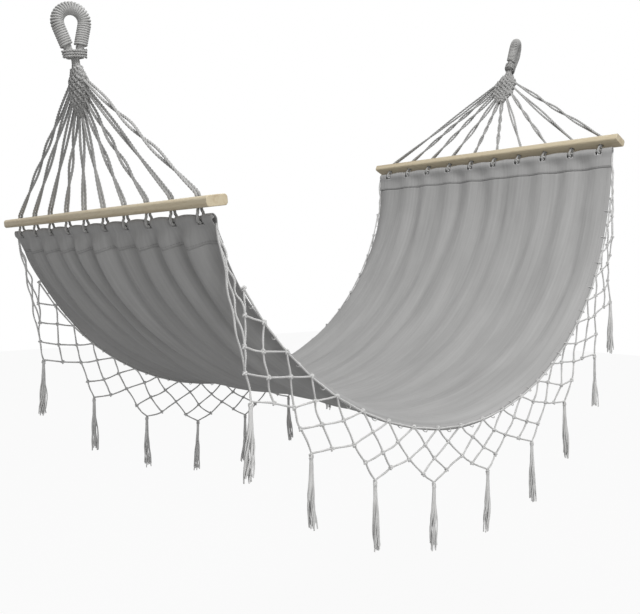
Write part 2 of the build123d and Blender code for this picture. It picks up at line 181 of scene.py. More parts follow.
# %% Sizes and the two ends
bar_length, bar_thickness = 0.800, 0.018
bar_span, bar_rise, clew_length = 1.190, 0.210, 0.284
hole_count, hole_margin = 10, 0.049
loop_bend, loop_splay, loop_height = 0.025, radians(17), 0.110
core_radius, serving_diameter = 0.008, 0.0042
cord_diameter, cord_gap = 0.0055, 0.0004
hem_rope_diameter, hem_drop, hem_depth = 0.007, 0.024, 0.044
bed_inset, bed_angle = 0.015, radians(72)
bed_half_width = bar_length / 2 - bed_inset
clearance = 0.0003
hole_pitch = (bar_length - 2 * hole_margin) / (hole_count - 1)
hole_places = [(index - (hole_count - 1) / 2) * hole_pitch for index in range(hole_count)]
serving_radius = core_radius + clearance + serving_diameter / 2
loop_top = loop_height - serving_radius - serving_diameter / 2
loop_centre = loop_top - loop_bend
seat_height = loop_top - serving_radius - serving_diameter / 2


class End:
    """One end of the hammock, with its own directions."""

    def __init__(self, bar, lean, turn):
        self.bar = Vector(bar)
        self.x = Vector((cos(lean), 0, -sin(lean)))
        self.y = Vector((0, 1, 0))
        self.z = Vector((sin(lean), 0, cos(lean)))
        self.loop_x = self.x * cos(turn) + self.y * sin(turn)
        self.loop_out = self.loop_x.cross(self.z)

    def at(self, x, y, z):
        """Place measured from the middle of the bar."""
        return self.bar + self.x * x + self.y * y + self.z * z

    def loop(self, x, z, out=0.0):
        """Place measured from the neck below the eye, in the eye's own plane."""
        neck = self.at(0, 0, clew_length)
        return neck + self.loop_x * x + self.z * z + self.loop_out * out


near_lean, far_lean = radians(-8), radians(25)
near_turn, far_turn = radians(-15), radians(28)
near_reach = seat_height + clew_length
near_bar = (near_reach * sin(-near_lean), 0, -near_reach * cos(near_lean))
far_bar = (near_bar[0] + bar_span, 0, near_bar[2] + bar_rise)
ends = {
    "near": End(near_bar, near_lean, near_turn),
    "far": End(far_bar, far_lean, far_turn),
}
for side, end in ends.items():
    middle = sum(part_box(f"{side}_spreader_bar"), Vector()) / 2
    print(side, "bar centre", [round(x, 4) for x in end.bar], "in the solids", [round(x, 4) for x in middle])

# %% [markdown]
# The empty cloth hangs in one long arc. A place on it is given by a share from 0 at the near hem to 1 at the
# far hem, a distance across, and a lift off its surface. The side margins droop outside the last cords.

# %% The curve that the cloth hangs in
hem_places = {side: end.at(0, 0, -hem_drop) for side, end in ends.items()}
hem_line = hem_places["far"] - hem_places["near"]
bed_slope = atan2(hem_line.z, hem_line.x)
hem_runs = {
    "near": Vector((cos(bed_slope - bed_angle), 0, sin(bed_slope - bed_angle))),
    "far": Vector((-cos(bed_slope + bed_angle), 0, -sin(bed_slope + bed_angle))),
}
bed_start = hem_places["near"] + hem_runs["near"] * (hem_depth + clearance)
bed_finish = hem_places["far"] + hem_runs["far"] * (hem_depth + clearance)
bed_chord = bed_finish - bed_start
bed_radius = bed_chord.length / 2 / sin(bed_angle)
bed_length = 2 * bed_angle * bed_radius
bed_centre = (bed_start + bed_finish) * 0.5 + Vector((-sin(bed_slope), 0, cos(bed_slope))) * (
    bed_radius * cos(bed_angle)
)
edge_droop = 0.018


def bed_at(along, across, lift=0.0):
    """Point of the hanging cloth, and the way up off its surface."""
    turn = bed_angle * (2 * along - 1) + bed_slope
    up = Vector((-sin(turn), 0, cos(turn)))
    place = bed_centre - up * bed_radius + up * lift
    place.y = across
    return place, up


def bed_droop(along):
    """How far the side margin hangs below the middle of the cloth."""
    return edge_droop * sqrt(max(sin(pi * min(max(along, 0), 1)), 0))


print("cloth arc", round(bed_length, 3), "m")

# %% [markdown]
# Geometry Nodes build everything that repeats along a path. This helper makes an empty tree with named
# inputs, so each tree below reads as a short recipe. A modifier's inputs are then set by identifier.

# %% Helpers for Geometry Nodes
kinds = {
    "Float": "NodeSocketFloat",
    "Int": "NodeSocketInt",
    "Material": "NodeSocketMaterial",
    "Object": "NodeSocketObject",
}


class Recipe:
    """A Geometry Nodes tree with short ways to add and join nodes."""

    def __init__(self, name, **inputs):
        self.tree = bpy.data.node_groups.new(name, "GeometryNodeTree")
        face = self.tree.interface
        face.new_socket("Geometry", in_out="OUTPUT", socket_type="NodeSocketGeometry")
        face.new_socket("Geometry", in_out="INPUT", socket_type="NodeSocketGeometry")
        for label, kind in inputs.items():
            face.new_socket(label, in_out="INPUT", socket_type=kinds[kind])
        self.start = self.tree.nodes.new("NodeGroupInput")
        self.end = self.tree.nodes.new("NodeGroupOutput")

    def add(self, kind, settings=None, **values):
        """New node; a value is a number or a socket, and i0 stands for the node's first input."""
        node = self.tree.nodes.new(kind)
        for key, value in (settings or {}).items():
            setattr(node, key, value)
        for key, value in values.items():
            socket = node.inputs[int(key[1:])] if key[0] == "i" and key[1:].isdigit() else node.inputs[key]
            if isinstance(value, bpy.types.NodeSocket):
                self.tree.links.new(value, socket)
            else:
                socket.default_value = value
        return node

    def math(self, operation, first, second=0.0):
        return self.add("ShaderNodeMath", {"operation": operation}, i0=first, i1=second).outputs[0]

    def vector(self, operation, first, second):
        return self.add("ShaderNodeVectorMath", {"operation": operation}, i0=first, i1=second).outputs[0]

    def scaled(self, vector, amount):
        node = self.add("ShaderNodeVectorMath", {"operation": "SCALE"}, Vector=vector, Scale=amount)
        return node.outputs[0]

    def evened(self, step):
        """The path that the tree gets, divided into equal steps."""
        path = self.start.outputs["Geometry"]
        return self.add("GeometryNodeResampleCurve", {"mode": "LENGTH"}, Curve=path, Length=step).outputs[0]

    def circle(self, sides, radius):
        return self.add("GeometryNodeCurvePrimitiveCircle", Resolution=sides, Radius=radius).outputs["Curve"]

    def swept(self, path, profile):
        """A profile carried along a path, with closed ends."""
        node = self.add("GeometryNodeCurveToMesh", Curve=path)
        self.tree.links.new(profile, node.inputs["Profile Curve"])
        node.inputs["Fill Caps"].default_value = True
        return node.outputs[0]

    def finish(self, geometry, material):
        """Every tree ends the same way: real geometry with its material."""
        real = self.add("GeometryNodeRealizeInstances", Geometry=geometry)
        smooth = self.add("GeometryNodeSetShadeSmooth", Geometry=real.outputs[0])
        painted = self.add("GeometryNodeSetMaterial", Geometry=smooth.outputs[0], Material=material)
        self.tree.links.new(painted.outputs[0], self.end.inputs[0])
        return self.tree


def grown(source, tree, name, **inputs):
    """Runs a tree on an object and keeps the result as a plain mesh piece."""
    modifier = source.modifiers.new("grow", "NODES")
    modifier.node_group = tree
    for item in tree.interface.items_tree:
        if item.item_type == "SOCKET" and item.in_out == "INPUT" and item.name in inputs:
            modifier[item.identifier] = inputs[item.name]
    bpy.context.view_layer.update()
    evaluated = source.evaluated_get(bpy.context.evaluated_depsgraph_get())
    mesh = bpy.data.meshes.new_from_object(evaluated)
    mesh.name = name
    piece = bpy.data.objects.new(name, mesh)
    scene.collection.objects.link(piece)
    source.modifiers.clear()
    bpy.data.objects.remove(source)
    return piece


def path_object(name, lines):
    """A curve object with one smooth spline through each list of points."""
    data = bpy.data.curves.new(name, "CURVE")
    data.dimensions = "3D"
    data.resolution_u = 10
    for points in lines:
        spline = data.splines.new("NURBS")
        spline.points.add(len(points) - 1)
        for place, point in zip(spline.points, points):
            place.co = (*point, 1.0)
        spline.order_u = min(3, len(points))
        spline.use_endpoint_u = True
    made = bpy.data.objects.new(name, data)
    scene.collection.objects.link(made)
    return made


print("helpers ready")

# %% [markdown]
# A laid rope is three or more strands that turn round each other. The tree sweeps small circles along the
# path and tilts them as they go, so the strands come out twisted by themselves.

# %% Tree for twisted cord
strand_share, strand_overlap = 0.25, 1.06


def twisted_cord_tree():
    """Tree for a laid rope; Lay is the length of one whole turn."""
    recipe = Recipe("twisted_cord", Diameter="Float", Strands="Int", Lay="Float", Step="Float",
                    Sides="Int", Finish="Material")
    sockets = recipe.start.outputs
    travelled = recipe.add("GeometryNodeSplineParameter").outputs["Length"]
    turn = recipe.math("MULTIPLY", recipe.math("DIVIDE", travelled, sockets["Lay"]), 2 * pi)
    tilted = recipe.add("GeometryNodeSetCurveTilt", Curve=recipe.evened(sockets["Step"]), Tilt=turn)
    strand = recipe.math("MULTIPLY", sockets["Diameter"], strand_share)
    ring = recipe.add("GeometryNodeMeshCircle", Vertices=sockets["Strands"], Radius=strand)
    circle = recipe.circle(sockets["Sides"], recipe.math("MULTIPLY", strand, strand_overlap))
    placed = recipe.add("GeometryNodeInstanceOnPoints", Points=ring.outputs["Mesh"], Instance=circle)
    profile = recipe.add("GeometryNodeRealizeInstances", Geometry=placed.outputs[0])
    return recipe.finish(recipe.swept(tilted.outputs[0], profile.outputs[0]), sockets["Finish"])


twisted_cord = twisted_cord_tree()
print("tree", twisted_cord.name)

# %% [markdown]
# The eyes are served: a thinner cord is wound tightly round the bundle. The tree moves the points of the
# evenly divided core path out to a circle that turns as it goes, and sweeps a small circle along that helix.

# %% Tree for a wound cord
points_per_turn, wound_sides = 22, 8


def wound_cord_tree():
    """Tree for a cord wound round a path, at a given distance from it."""
    recipe = Recipe("wound_cord", Turns="Float", Radius="Float", Diameter="Float", Finish="Material")
    sockets = recipe.start.outputs
    count = recipe.math("MULTIPLY", sockets["Turns"], points_per_turn)
    even = recipe.add("GeometryNodeResampleCurve", {"mode": "COUNT"}, Curve=sockets["Geometry"], Count=count)
    factor = recipe.add("GeometryNodeSplineParameter").outputs["Factor"]
    angle = recipe.math("MULTIPLY", recipe.math("MULTIPLY", factor, sockets["Turns"]), 2 * pi)
    normal = recipe.add("GeometryNodeInputNormal").outputs[0]
    tangent = recipe.add("GeometryNodeInputTangent").outputs[0]
    across = recipe.vector("CROSS_PRODUCT", tangent, normal)
    out = recipe.scaled(normal, recipe.math("MULTIPLY", recipe.math("COSINE", angle), sockets["Radius"]))
    over = recipe.scaled(across, recipe.math("MULTIPLY", recipe.math("SINE", angle), sockets["Radius"]))
    shift = recipe.vector("ADD", out, over)
    wound = recipe.add("GeometryNodeSetPosition", Geometry=even.outputs[0], Offset=shift)
    circle = recipe.circle(wound_sides, recipe.math("MULTIPLY", sockets["Diameter"], 0.5))
    return recipe.finish(recipe.swept(wound.outputs[0], circle), sockets["Finish"])


wound_cord = wound_cord_tree()
print("tree", wound_cord.name)

# %% [markdown]
# Five finishes cover the hammock: canvas, thick cord, thin net cord, stitching thread and varnished wood.
# Each is built from noise and waves, so nothing is painted. A small helper keeps the node wiring short.

# %% Helper for materials
class Finish:
    """A material with short ways to add nodes, ending in one Principled shader."""

    def __init__(self, name, roughness, sheen=0.0):
        self.material = bpy.data.materials.new(name)
        self.material.use_nodes = True
        self.nodes = self.material.node_tree.nodes
        self.links = self.material.node_tree.links
        self.shader = self.nodes["Principled BSDF"]
        self.shader.inputs["Roughness"].default_value = roughness
        self.shader.inputs["Specular IOR Level"].default_value = 0.25
        self.shader.inputs["Sheen Weight"].default_value = sheen

    def add(self, kind, settings=None, **values):
        node = self.nodes.new(kind)
        for key, value in (settings or {}).items():
            setattr(node, key, value)
        for key, value in values.items():
            socket = node.inputs[key.replace("_", " ")]
            if isinstance(value, bpy.types.NodeSocket):
                self.links.new(value, socket)
            else:
                socket.default_value = value
        return node

    def stretched(self, source, scale):
        """Coordinates scaled on each axis, so noise becomes threads or grain."""
        return self.add("ShaderNodeMapping", Vector=source, Scale=scale).outputs[0]

    def cloudy(self, source, scale, detail, roughness=0.5, distortion=0.0):
        """Soft noise between 0 and 1."""
        node = self.add("ShaderNodeTexNoise", Vector=source, Scale=scale, Detail=detail, Roughness=roughness,
                        Distortion=distortion)
        return node.outputs["Fac"]

    def ramp(self, factor, *stops):
        """Colours between the stops, each a share and a shade."""
        node = self.add("ShaderNodeValToRGB", Fac=factor)
        band = node.color_ramp.elements
        while len(band) < len(stops):
            band.new(0.5)
        for element, (place, shade) in zip(band, stops):
            element.position = place
            element.color = (*shade, 1.0)
        return node.outputs["Color"]

    def blend(self, how, share, first, second):
        """The second colour laid over the first."""
        node = self.add("ShaderNodeMix", {"data_type": "RGBA", "blend_type": how})
        node.inputs[0].default_value = share
        self.links.new(first, node.inputs[6])
        self.links.new(second, node.inputs[7])
        return node.outputs[2]

    def bump(self, height, strength, distance, below=None):
        node = self.add("ShaderNodeBump", Height=height, Strength=strength, Distance=distance)
        if below is not None:
            self.links.new(below, node.inputs["Normal"])
        return node.outputs[0]

    def finish(self, colour, normal):
        self.links.new(colour, self.shader.inputs["Base Color"])
        self.links.new(normal, self.shader.inputs["Normal"])
        return self.material


# %% [markdown]
# The canvas is a plain grey weave with soft lengthwise streaks, where thicker yarns run from hem to hem. Its
# UV map is in metres, so the threads keep their size and follow the cloth round its curve.

# %% Canvas
def canvas_material():
    """Matt grey weave with soft lengthwise streaks."""
    canvas = Finish("grey_canvas", 0.92, sheen=0.12)
    place = canvas.add("ShaderNodeTexCoord").outputs["UV"]
    streaks = canvas.cloudy(canvas.stretched(place, (3.0, 170.0, 1.0)), scale=1.0, detail=3.0, roughness=0.6)
    clouds = canvas.cloudy(canvas.stretched(place, (5.0, 9.0, 1.0)), scale=1.0, detail=4.0, roughness=0.55)
    crumple = canvas.cloudy(canvas.stretched(place, (9.0, 24.0, 1.0)), scale=1.0, detail=5.0)
    warp, weft = (
        canvas.add("ShaderNodeTexWave", {"wave_type": "BANDS", "bands_direction": direction}, Vector=place,
                   Scale=230.0, Distortion=1.2, Detail=2.0, Detail_Scale=1.5).outputs["Fac"]
        for direction in ("Y", "X")
    )
    weave = canvas.blend("MULTIPLY", 1.0, warp, weft)
    grey = canvas.ramp(streaks, (0.3, (0.335, 0.333, 0.330)), (0.7, (0.395, 0.393, 0.390)))
    grey = canvas.blend("MULTIPLY", 1.0, grey, canvas.ramp(clouds, (0.3, (0.90, 0.90, 0.90)), (0.7, white)))
    grey = canvas.blend("MULTIPLY", 0.22, grey, canvas.ramp(weave, (0.0, (0.72, 0.72, 0.72)), (0.5, white)))
    normal = canvas.bump(weave, 0.25, 0.0004)
    normal = canvas.bump(crumple, 0.35, 0.006, below=normal)
    return canvas.finish(grey, normal)


canvas = canvas_material()

# %% [markdown]
# Cotton cord is matt, with fine fibres and darker grooves between its strands. The fibres are very fine
# noise, coarser noise gives soft patches, and the grooves are the strands' own shadows. The net cord is the
# same yarn, thinner and paler.

# %% Cord
def cord_material(name, dark, light):
    """Matt cotton whose patches run from a dark to a light shade."""
    cord = Finish(name, 0.95, sheen=0.2)
    place = cord.add("ShaderNodeTexCoord").outputs["Object"]
    fibres = cord.cloudy(place, scale=900.0, detail=3.0, roughness=0.7)
    patches = cord.cloudy(place, scale=45.0, detail=3.0, roughness=0.6)
    shade = cord.ramp(patches, (0.3, dark), (0.7, light))
    shade = cord.blend("MULTIPLY", 0.5, shade, cord.ramp(fibres, (0.3, (0.7, 0.7, 0.7)), (0.7, white)))
    return cord.finish(shade, cord.bump(fibres, 0.5, 0.0006))


grey_cord = cord_material("grey_cord", (0.36, 0.358, 0.35), (0.48, 0.478, 0.47))
net_cord = cord_material("net_cord", (0.56, 0.558, 0.55), (0.70, 0.698, 0.69))

# %% [markdown]
# The bars are pale, almost knot-free wood under a thin clear coat. The grain is noise stretched hard along
# the bar, and short dark pores lie in the same direction.

# %% Wood
def wood_material():
    """Pale wood with its grain along the bar."""
    wood = Finish("pale_wood", 0.45)
    place = wood.add("ShaderNodeTexCoord").outputs["Object"]
    grain_place = wood.stretched(place, (60.0, 2.2, 60.0))
    grain = wood.cloudy(grain_place, scale=1.0, detail=5.0, roughness=0.55, distortion=0.5)
    pores = wood.cloudy(wood.stretched(place, (1400.0, 60.0, 1400.0)), scale=1.0, detail=2.0)
    light, middle, dark = (0.57, 0.50, 0.36), (0.49, 0.41, 0.28), (0.42, 0.33, 0.21)
    colour = wood.ramp(grain, (0.25, middle), (0.5, light), (0.75, dark))
    pore_shade = wood.ramp(pores, (0.35, (0.62, 0.5, 0.36)), (0.5, white))
    colour = wood.blend("MULTIPLY", 0.35, colour, pore_shade)
    wood.shader.inputs["Coat Weight"].default_value = 0.12
    wood.shader.inputs["Coat Roughness"].default_value = 0.3
    return wood.finish(colour, wood.bump(grain, 0.15, 0.0005))


pale_wood = wood_material()
for side in ends:
    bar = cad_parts[f"{side}_spreader_bar"]
    for slot in bar.material_slots:
        slot.material = pale_wood
    print(bar.name, "wood on", len(bar.material_slots), "slots")

# %% [markdown]
# Each hanging eye is a bundle of cords bent into a drop shape. The core is a thick laid rope along that line,
# seen only below the winding. The winding follows the same line, so the two always fit each other.

# %% The hanging eyes
meeting_gap = 0.0004
arc_half = loop_bend * (pi / 2 + loop_splay)
half_opening = loop_bend * cos(loop_splay) - serving_radius - serving_diameter / 2 - meeting_gap
served_leg = half_opening / sin(loop_splay)
served_length = 2 * (arc_half + served_leg)
foot_places = [(0.0085, 0.005), (0.0085, 0.011), (0.0088, 0.016)]
winding_pitch, winding_diameter = 0.00435, 0.0046
whipping_turns, whipping_steps, whipping_pitch, whipping_diameter = 3, 40, 0.0048, 0.0048
whipping_bottom, whipping_wide, whipping_deep, whipping_flare = 0.0065, 0.0205, 0.0128, 0.0008


def eye_point(end, along):
    """Point on the middle line of an eye, measured from its top."""
    swing = max(-arc_half, min(arc_half, along)) / loop_bend
    past = along - swing * loop_bend
    return end.loop(
        loop_bend * sin(swing) + past * cos(swing),
        loop_centre + loop_bend * cos(swing) - past * sin(swing),
    )


def make_eye(side):
    """The core, the winding and the whipping of one eye."""
    end = ends[side]
    count = 60
    line = [eye_point(end, served_length * (index / count - 0.5)) for index in range(count + 1)]
    first_foot = [end.loop(-out, up) for out, up in foot_places]
    last_foot = [end.loop(out, up) for out, up in reversed(foot_places)]
    core = grown(path_object("core_line", [first_foot + line + last_foot]), twisted_cord, f"{side}_eye_core",
                 Diameter=2 * core_radius, Strands=5, Lay=0.05, Step=0.0015, Sides=8, Finish=grey_cord)
    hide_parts(f"{side}_loop")
    served = grown(path_object("served_line", [line]), wound_cord, f"{side}_eye_winding",
                   Turns=served_length / winding_pitch, Radius=serving_radius, Diameter=winding_diameter,
                   Finish=grey_cord)
    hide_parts(f"{side}_loop_serving")
    ring = []
    for index in range(whipping_steps + 1):
        turned = whipping_turns * index / whipping_steps
        turn = 2 * pi * turned
        out = (whipping_wide + whipping_flare * turned) * cos(turn)
        ring.append(end.loop(out, whipping_bottom + whipping_pitch * turned, whipping_deep * sin(turn)))
    whipping = grown(path_object("whipping_line", [ring]), twisted_cord, f"{side}_eye_whipping",
                     Diameter=whipping_diameter, Strands=3, Lay=0.014, Step=0.0012, Sides=6, Finish=grey_cord)
    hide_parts(f"{side}_loop_whipping")
    for piece in (core, served, whipping):
        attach(piece, "hanging_loops")
        print(piece.name, len(piece.data.polygons), "faces")


for side in ends:
    make_eye(side)

# %% [markdown]
# Below each eye all the cords are woven into one flat, plump knot. It is made as a tubular braid round a
# flattened body: half of the cords turn one way and half the other, and each rises over one crossing and
# dips under the next. A plain core inside keeps light from showing through.

# %% The woven knots
knot_drop, knot_length = 0.012, 0.090
knot_widths = [(0.0, 0.020), (0.030, 0.037), (0.0576, 0.035), (0.090, 0.014)]
knot_depths = [(0.0, 0.0095), (0.030, 0.012), (0.0576, 0.012), (0.090, 0.0085)]
braid_count, braid_turns, braid_diameter, braid_rise = 9, 0.75, 0.0078, 0.0018
braid_steps, braid_least_depth = 46, 0.003
core_inset, core_least_depth, core_end_gap = 0.0055, 0.0025, 0.001
neck_count = 10
neck_steps = [
    (0.006, 0.013, -0.0165),
    (0.0055, 0.0085, -0.009),
    (0.0052, 0.0062, -0.002),
    (0.0055, 0.0075, 0.006),
    (0.0055, 0.0095, 0.013),
]


def smooth(value):
    """Runs from 0 to 1 with a soft start and a soft end."""
    value = min(max(value, 0.0), 1.0)
    return value * value * (3 - 2 * value)


def along_table(table, value):
    """Smooth value between the rows of a short table."""
    if value <= table[0][0]:
        return table[0][1]
    for (low, first), (high, second) in zip(table, table[1:]):
        if value <= high:
            return first + (second - first) * smooth((value - low) / (high - low))
    return table[-1][1]


def round_flat(share, wide, deep):
    """Point at a share of the way round a flattened ring, evenly spaced along it."""
    steps = 72
    ring = [(wide * cos(2 * pi * i / steps), deep * sin(2 * pi * i / steps)) for i in range(steps + 1)]
    lengths = [hypot(b[0] - a[0], b[1] - a[1]) for a, b in zip(ring, ring[1:])]
    wanted = (share % 1.0) * sum(lengths)
    for index, length in enumerate(lengths):
        if wanted <= length:
            part = wanted / length
            a, b = ring[index], ring[index + 1]
            return a[0] + (b[0] - a[0]) * part, a[1] + (b[1] - a[1]) * part
        wanted -= length
    return ring[0]


def braid_lines(end):
    """One line for each cord of the braid; half of them turn each way."""
    lines = []
    inset = braid_diameter / 2 + braid_rise * 0.6
    for family in (1, -1):
        for number in range(braid_count):
            points = []
            for step in range(braid_steps + 1):
                fall = knot_length * step / braid_steps
                turned_by = fall / knot_length * braid_turns
                over = braid_rise * family * cos(pi * 2 * turned_by * braid_count)
                wide = along_table(knot_widths, fall) - inset + over
                deep = max(along_table(knot_depths, fall) - inset + over, braid_least_depth)
                across, out = round_flat(number / braid_count + family * turned_by, wide, deep)
                points.append(end.at(out, across, clew_length - knot_drop - fall))
            lines.append(points)
    return lines


def knot_core(end, name):
    """Closed plain body inside the braid."""
    rings, sides = 14, 24
    points = [end.at(0, 0, clew_length - knot_drop - core_end_gap)]
    for ring in range(rings):
        fall = knot_length * (ring + 0.5) / rings
        wide = along_table(knot_widths, fall) - core_inset
        deep = max(along_table(knot_depths, fall) - core_inset, core_least_depth)
        for side_number in range(sides):
            turn = 2 * pi * side_number / sides
            points.append(end.at(deep * sin(turn), wide * cos(turn), clew_length - knot_drop - fall))
    points.append(end.at(0, 0, clew_length - knot_drop - knot_length + core_end_gap))
    faces = [(0, 1 + (i + 1) % sides, 1 + i) for i in range(sides)]
    for ring in range(rings - 1):
        base = 1 + ring * sides
        for i in range(sides):
            following = (i + 1) % sides
            faces.append((base + i, base + following, base + sides + following, base + sides + i))
    last = len(points) - 1
    base = last - sides
    faces += [(last, base + i, base + (i + 1) % sides) for i in range(sides)]
    mesh = bpy.data.meshes.new(name)
    mesh.from_pydata([tuple(p) for p in points], [], faces)
    mesh.materials.append(grey_cord)
    made = bpy.data.objects.new(name, mesh)
    scene.collection.objects.link(made)
    return made


def neck_lines(end):
    """Short cords that run from the top of the knot up between the feet of the eye."""
    lines = []
    for number in range(neck_count):
        turn = 2 * pi * number / neck_count
        lines.append([
            end.at(deep * sin(turn), wide * cos(turn), clew_length + up) for deep, wide, up in neck_steps
        ])
    return lines


for side, end in ends.items():
    braid = grown(path_object("braid_line", braid_lines(end)), twisted_cord, f"{side}_woven_knot",
                  Diameter=braid_diameter, Strands=3, Lay=0.016, Step=0.0018, Sides=6, Finish=grey_cord)
    core = knot_core(end, f"{side}_knot_core")
    neck = grown(path_object("neck_line", neck_lines(end)), twisted_cord, f"{side}_neck_cords",
                 Diameter=0.0048, Strands=3, Lay=0.014, Step=0.0015, Sides=6, Finish=grey_cord)
    for piece in (braid, core):
        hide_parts(f"{side}_knot")
        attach(piece, "hammock")
    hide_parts(f"{side}_knot")
    end.at(0, 0, clew_length - 0.012)
    end.at(0, 0, clew_length + 0.006)
    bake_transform(neck)
    print(braid.name, len(braid.data.polygons), "faces")

# %% [markdown]
# Ten doubled cords spread from each knot. Each is one piece: down through its hole, under the hem rope and
# back up. Between the knot and the bar its two halves twist loosely round each other, some more than others.

# %% The doubled cords
cord_roots = [(0.005, 0.084), (0.014, 0.070), (0.020, 0.052), (0.022, 0.036), (0.020, 0.020)]
cord_mouth, cord_point_gap, cord_least_steps, rope_end_gap = 0.005, 0.018, 5, 0.002
around_rope = (hem_rope_diameter + cord_diameter) / 2 + clearance
chance = random.Random(7)


def doubled_cord_line(end, number):
    """Down one half of a doubled cord, round the hem rope and up the other half."""
    place = hole_places[number]
    root_across, root_fall = cord_roots[min(floor(abs(place) / hole_pitch), len(cord_roots) - 1)]
    way = 1 if place > 0 else -1
    apart = (cord_diameter + cord_gap) / 2
    root = Vector((0, way * root_across, clew_length - knot_drop - root_fall))
    mouth = Vector((0, place, bar_thickness / 2 + cord_mouth))
    run = root - mouth
    beside = Vector((1, 0, 0))
    other = run.normalized().cross(beside)
    twists = chance.choice((0.5, 1.0, 1.5, 2.0))
    loose = chance.uniform(1.0, 1.45)
    bow = chance.uniform(-0.003, 0.003)
    steps = max(cord_least_steps, round(run.length / cord_point_gap))
    half = []
    for step in range(steps + 1):
        share = step / steps
        turn = 2 * pi * twists * smooth(share)
        spread = apart * (1 + (loose - 1) * sin(pi * share))
        middle = mouth + run * share + other * (bow * sin(pi * share))
        half.append((middle, beside * (cos(turn) * spread) + other * (sin(turn) * spread)))
    through = [
        (apart, -bar_thickness / 2 - 0.002),
        (around_rope, -hem_drop + around_rope * 0.6),
        (around_rope, -hem_drop - around_rope * 0.8),
        (around_rope * 0.45, -hem_drop - around_rope * 1.12),
    ]
    down = [middle + offset for middle, offset in reversed(half)]
    down += [Vector((apart, place, 0.0))]
    down += [Vector((x, place, z)) for x, z in through]
    up = [Vector((-x, place, z)) for x, z in reversed(through)]
    up += [Vector((-apart, place, 0.0))]
    up += [middle - offset for middle, offset in half]
    return [end.at(*point) for point in down + up]


for side, end in ends.items():
    for number in range(hole_count):
        piece = grown(path_object("cord_line", [doubled_cord_line(end, number)]), twisted_cord,
                      f"{side}_doubled_cord_{number + 1:02d}", Diameter=cord_diameter, Strands=3, Lay=0.024,
                      Step=0.0022, Sides=6, Finish=grey_cord)
        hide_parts(f"{side}_cord_{number + 1:02d}")
        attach(piece, "hammock")
    rope_reach = bed_half_width - rope_end_gap
    rope_line = [end.at(0, (i / 20 - 0.5) * 2 * rope_reach, -hem_drop) for i in range(21)]
    rope = grown(path_object("rope_line", [rope_line]), twisted_cord, f"{side}_hem_rope",
                 Diameter=hem_rope_diameter, Strands=3, Lay=0.03, Step=0.004, Sides=6, Finish=grey_cord)
    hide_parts(f"{side}_hem_cord")
    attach(rope, "hammock")
    print(side, "cords", hole_count, "of", len(piece.data.polygons), "faces")

# %% [markdown]
# The cloth is one sheet with soft lengthwise folds. The ten cords pull it up in ten ridges at each end, and
# it sags between them, deepest near the bars. One function gives the depth of those folds at any distance
# from the hem ropes, so the bed and both hems share the same ridges. Three kinds of noise add the looser
# wrinkles. Each has how fast it changes along the cloth, its slant, how fast it changes across, a seed and a
# height.

# %% One rule for the folds
near_fold, far_fold, slack_fold = 0.0340, 0.0125, 0.0020
near_fade, far_fade, hem_fade, calm_reach = 0.20, 0.24, 0.045, 0.16
wander_size, wander_reach, margin_ridge = 0.16, 0.2, 0.25
wrinkles = [(2.3, 0.0, 9.0, 4.0, 0.0095), (4.0, 3.0, 26.0, 9.0, 0.0052), (11.0, 9.0, 52.0, 2.0, 0.0015)]
bay_chance = random.Random(21)
bay_depths = [bay_chance.uniform(0.45, 1.45) for _ in range(hole_count + 1)]
bulge = 0.028


def spread_out(place_x):
    """The loose middle of the cloth is a little wider than its gathered ends."""
    share = (place_x - bed_start.x) / (bed_finish.x - bed_start.x)
    return 1 + bulge * sin(pi * min(max(share, 0.0), 1.0))


def fold_lift(from_near, from_far, across):
    """Height of the cloth off its smooth curve; the distances are measured from the two hem ropes."""
    bay = across / hole_pitch + (hole_count - 1) / 2
    wander = noise.noise(Vector((from_near * 2.0, across * 7.0, 31.0)))
    wander = wander_size * wander * smooth(from_near / wander_reach)
    ridge = (cos(2 * pi * (bay + wander)) - 1) / 2
    if abs(across) > hole_places[-1]:
        ridge = ridge * margin_ridge
    own = bay_depths[min(max(int(bay + 1), 0), hole_count)]
    near_share = (1 - exp(-max(from_near, 0) / hem_fade)) * exp(-from_near / near_fade)
    far_share = (1 - exp(-max(from_far, 0) / hem_fade)) * exp(-from_far / far_fade)
    depth = near_fold * near_share + far_fold * far_share + slack_fold * (1 - near_share - far_share)
    waves = sum(
        noise.noise(Vector((from_near * along + across * slant, across * fine, seed))) * height
        for along, slant, fine, seed, height in wrinkles
    )
    free = smooth(min(from_near, from_far) / calm_reach)
    return ridge * depth * own + waves * (0.25 + 0.75 * free)


def margin_drop(along, across):
    """The edge outside the last cords hangs down."""
    outside = max(abs(across) - hole_places[-1], 0) / (bed_half_width - hole_places[-1])
    return bed_droop(along) * smooth(outside * 0.5) * 2


def cloth_point(along, across, off=0.0):
    """Point on the folded cloth; off is a small distance out of its upper face."""
    from_near = hem_depth + along * bed_length
    from_far = hem_depth + (1 - along) * bed_length
    lift = fold_lift(from_near, from_far, across) - margin_drop(along, across) + off
    place, up = bed_at(along, across, lift)
    place.y = across * spread_out(place.x)
    return place


print("fold 10 cm from the near hem", round(fold_lift(0.1, 1.5, hole_pitch) * 1000, 1), "mm")

# %% [markdown]
# A grid of points over that rule is the whole bed. Its UV map holds the distance along and across the cloth
# in metres, which is what the canvas material reads. Solidify then gives it the thickness of canvas.

